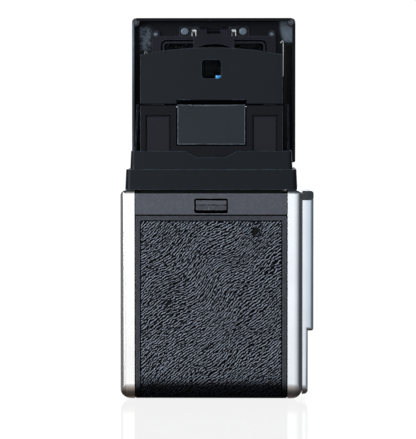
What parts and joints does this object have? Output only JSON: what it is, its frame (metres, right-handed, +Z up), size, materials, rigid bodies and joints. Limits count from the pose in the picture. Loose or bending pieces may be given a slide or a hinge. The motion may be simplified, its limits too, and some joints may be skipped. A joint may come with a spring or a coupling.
{
  "type": "twin lens reflex instant camera",
  "caption": "Twin lens reflex instant camera with an open waist-level hood, a leather-clad rear door and brushed metal sides.",
  "frame": {"origin": "mouth of the tripod socket, on the plane that the camera stands on", "axes": "+Z up; +Y forward, the way the lenses look; +X to the viewer's right, where the picture comes out"},
  "size_m": [0.1143, 0.103, 0.2264],
  "materials": {
    "brushed_metal": "satin",
    "dark_metal": "satin",
    "black_plastic": "matte",
    "hood_black": "satin",
    "blue_leather": "grained",
    "lens_glass": "polished",
    "clear_window": "polished",
    "screen_glass": "frosted",
    "mirror_face": "polished",
    "bright_steel": "polished",
    "spring_steel": "satin",
    "gear_plastic": "satin",
    "board_green": "matte",
    "battery_jacket": "gloss",
    "brass_socket": "machined"
  },
  "bodies": {
    "camera_body": {"main_body_shell": "black_plastic", "left_side_cover": "brushed_metal", "right_side_cover": "brushed_metal", "film_exit_cover": "brushed_metal", "base_plate": "black_plastic", "tripod_socket": "brass_socket", "body_screws": "bright_steel", "rear_top_panel": "dark_metal", "front_panel": "black_plastic", "front_leather": "blue_leather", "lens_board": "brushed_metal", "flash_reflector": "mirror_face", "flash_window": "clear_window", "light_sensor": "clear_window", "viewing_lens_barrel": "black_plastic", "taking_lens_barrel": "black_plastic", "shutter_unit": "black_plastic", "light_chamber": "black_plastic", "mirror_housing": "black_plastic", "reflex_mirror": "mirror_face", "focusing_screen": "screen_glass", "flash_capacitor": "battery_jacket", "main_circuit_board": "board_green", "film_pack": "black_plastic", "batteries": "battery_jacket", "roller_frame": "spring_steel", "drive_motor": "spring_steel", "strap_lugs": "brushed_metal", "hood_base_ring": "hood_black", "hood_skirt": "hood_black", "hinge_pins": "bright_steel"},
    "hood_lid": {"lid_shell": "hood_black", "magnifier_bracket": "hood_black", "magnifier_spring_sleeves": "bright_steel", "lid_screws": "bright_steel"},
    "magnifier": {"magnifier_frame": "hood_black", "magnifier_lens": "clear_window"},
    "rear_leaf_lower": {"rear_panel_lower": "hood_black", "panel_hinge_plate": "hood_black"},
    "rear_leaf_upper": {"rear_panel_upper": "hood_black"},
    "hood_side_left": {"side_panel_left": "hood_black"},
    "hood_side_right": {"side_panel_right": "hood_black"},
    "rear_door": {"door_frame": "dark_metal", "door_leather": "blue_leather", "counter_window": "clear_window", "film_pressure_springs": "spring_steel"},
    "latch": {"latch_slider": "dark_metal"},
    "viewing_focus": {"viewing_focus_ring": "black_plastic", "viewing_front_lens": "lens_glass"},
    "taking_focus": {"taking_focus_ring": "black_plastic", "taking_front_lens": "lens_glass"},
    "aperture": {"aperture_ring": "brushed_metal"},
    "exposure_control": {"exposure_dial": "brushed_metal"},
    "shutter_release": {"shutter_button": "bright_steel"},
    "mode_selector": {"mode_switch": "black_plastic"},
    "battery_hatch": {"battery_door": "brushed_metal"},
    "film_drive": {"drive_gear": "gear_plastic"},
    "inner_roller": {"inner_film_roller": "bright_steel"},
    "outer_roller": {"outer_film_roller": "bright_steel"},
    "film_claw": {"eject_claw": "spring_steel"}
  },
  "joints": [
    {"name": "lid_fold", "type": "hinge", "parent": "camera_body", "child": "hood_lid", "pos_m": [0, 0.042, 0.1385], "axis": [1, 0, 0], "range_deg": [0, 90]},
    {"name": "magnifier_swing", "type": "hinge", "parent": "hood_lid", "child": "magnifier", "pos_m": [0, 0.048, 0.2188], "axis": [1, 0, 0], "range_deg": [-90, 0]},
    {"name": "rear_leaf_fold", "type": "hinge", "parent": "camera_body", "child": "rear_leaf_lower", "pos_m": [0, -0.038, 0.1306], "axis": [1, 0, 0], "range_deg": [-90, 0]},
    {"name": "upper_leaf_fold", "type": "hinge", "parent": "rear_leaf_lower", "child": "rear_leaf_upper", "pos_m": [0, -0.0396, 0.1737], "axis": [1, 0, 0], "range_deg": [0, 180]},
    {"name": "left_side_fold", "type": "hinge", "parent": "camera_body", "child": "hood_side_left", "pos_m": [-0.0454, 0, 0.129], "axis": [0, 1, 0], "range_deg": [0, 90]},
    {"name": "right_side_fold", "type": "hinge", "parent": "camera_body", "child": "hood_side_right", "pos_m": [0.0454, 0, 0.129], "axis": [0, 1, 0], "range_deg": [-90, 0]},
    {"name": "door_open", "type": "hinge", "parent": "camera_body", "child": "rear_door", "pos_m": [0, -0.04, 0.007], "axis": [1, 0, 0], "range_deg": [0, 90]},
    {"name": "latch_slide", "type": "slide", "parent": "camera_body", "child": "latch", "axis": [0, 0, 1], "range_m": [-0.0019, 0], "stiffness_N_per_m": 200},
    {"name": "viewing_focus_turn", "type": "hinge", "parent": "camera_body", "child": "viewing_focus", "pos_m": [0, 0.054, 0.1075], "axis": [0, 1, 0], "range_deg": [0, 210]},
    {"name": "taking_focus_turn", "type": "hinge", "parent": "camera_body", "child": "taking_focus", "pos_m": [0, 0.054, 0.07], "axis": [0, 1, 0], "range_deg": [-210, 0]},
    {"name": "aperture_turn", "type": "hinge", "parent": "camera_body", "child": "aperture", "pos_m": [0, 0.051, 0.07], "axis": [0, 1, 0], "range_deg": [-40, 20]},
    {"name": "exposure_dial_turn", "type": "hinge", "parent": "camera_body", "child": "exposure_control", "pos_m": [0.0345, 0.049, 0.108], "axis": [0, 1, 0], "range_deg": [-150, 150]},
    {"name": "shutter_press", "type": "slide", "parent": "camera_body", "child": "shutter_release", "axis": [0, 1, 0], "range_m": [-0.0015, 0], "stiffness_N_per_m": 400},
    {"name": "mode_slide", "type": "slide", "parent": "camera_body", "child": "mode_selector", "axis": [1, 0, 0], "range_m": [0, 0.004]},
    {"name": "battery_door_open", "type": "hinge", "parent": "camera_body", "child": "battery_hatch", "pos_m": [-0.0522, -0.003, 0.01], "axis": [0, 1, 0], "range_deg": [-100, 0]},
    {"name": "film_drive_turn", "type": "hinge", "parent": "camera_body", "child": "film_drive", "pos_m": [0.0505, -0.0121, 0.102], "axis": [0, 0, 1], "continuous": true},
    {"name": "inner_roller_turn", "type": "hinge", "parent": "camera_body", "child": "inner_roller", "pos_m": [0.0505, -0.0214, 0.07], "axis": [0, 0, 1], "continuous": true},
    {"name": "outer_roller_turn", "type": "hinge", "parent": "camera_body", "child": "outer_roller", "pos_m": [0.0505, -0.0276, 0.07], "axis": [0, 0, 1], "continuous": true},
    {"name": "claw_slide", "type": "slide", "parent": "camera_body", "child": "film_claw", "axis": [1, 0, 0], "range_m": [0, 0.005]}
  ],
  "couplings": [
    {"joint": "rear_leaf_fold", "follows": "lid_fold", "ratio": -1},
    {"joint": "upper_leaf_fold", "follows": "lid_fold", "ratio": 2},
    {"joint": "left_side_fold", "follows": "lid_fold", "ratio": 1},
    {"joint": "right_side_fold", "follows": "lid_fold", "ratio": -1},
    {"joint": "taking_focus_turn", "follows": "viewing_focus_turn", "ratio": -1},
    {"joint": "inner_roller_turn", "follows": "film_drive_turn", "ratio": -2},
    {"joint": "outer_roller_turn", "follows": "film_drive_turn", "ratio": 2}
  ]
}
